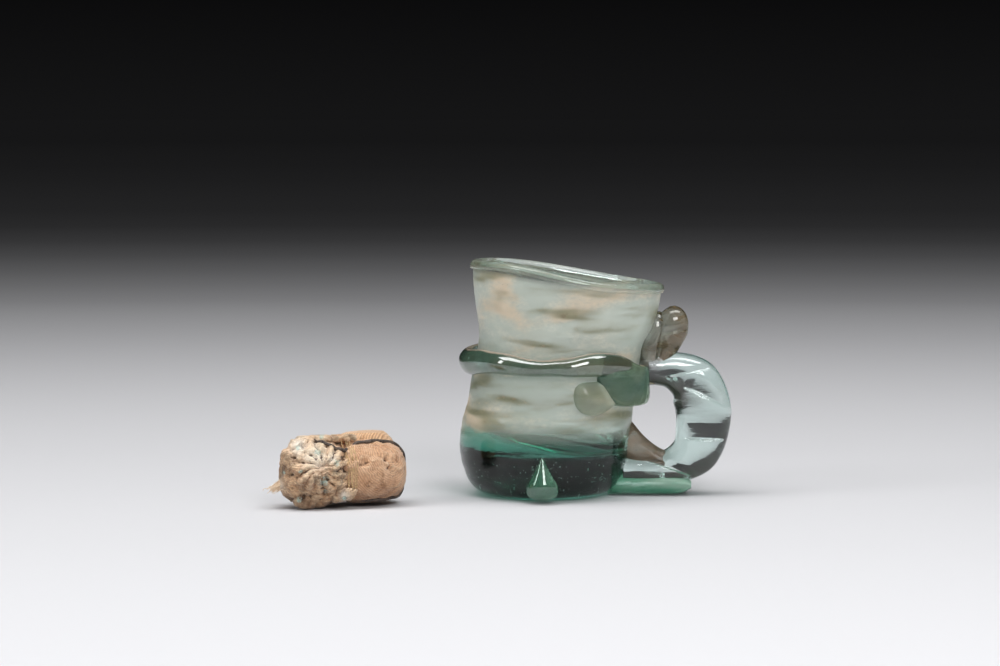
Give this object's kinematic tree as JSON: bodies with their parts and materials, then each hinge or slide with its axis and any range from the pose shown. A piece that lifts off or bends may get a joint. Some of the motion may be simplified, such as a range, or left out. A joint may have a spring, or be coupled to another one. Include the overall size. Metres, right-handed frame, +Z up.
{
  "type": "glass reliquary",
  "caption": "Small free-blown glass cup with a wound thread, a pad and a looped handle with thumb rest, and the cloth-wrapped relic bundle that it holds, tied with thread and cord.",
  "frame": {"origin": "middle of the cup's resting face, on the surface it stands on", "axes": "+Z up, +X from the cup's axis towards its handle, -Y towards the front with the pad and the drop"},
  "size_m": [0.1159, 0.0597, 0.0591],
  "materials": {
    "pale_glass": "gloss",
    "thread_glass": "gloss",
    "handle_glass": "gloss",
    "woven_linen": "matte",
    "frayed_thread": "matte",
    "tie_thread": "matte",
    "dark_thong": "matte",
    "old_bone": "matte"
  },
  "bodies": {
    "cup": {"glass_body": "pale_glass", "waist_trail": "thread_glass", "trail_end_pad": "thread_glass", "trail_tongue": "thread_glass", "base_drop": "thread_glass", "handle_loop": "handle_glass", "handle_wall_strip": "handle_glass", "thumb_rest": "handle_glass", "handle_gusset": "handle_glass", "handle_foot_lobe": "thread_glass"},
    "relic": {"relic_bone": "old_bone", "wrap_roll": "woven_linen", "wrap_head": "woven_linen", "wrap_fold": "woven_linen", "waist_tie": "tie_thread", "dark_cord": "dark_thong", "frayed_tuft": "frayed_thread"}
  },
  "joints": [
    {"name": "relic_lift", "type": "slide", "parent": "cup", "child": "relic", "axis": [0, 0, 1], "range_m": [0, 0.08]}
  ]
}
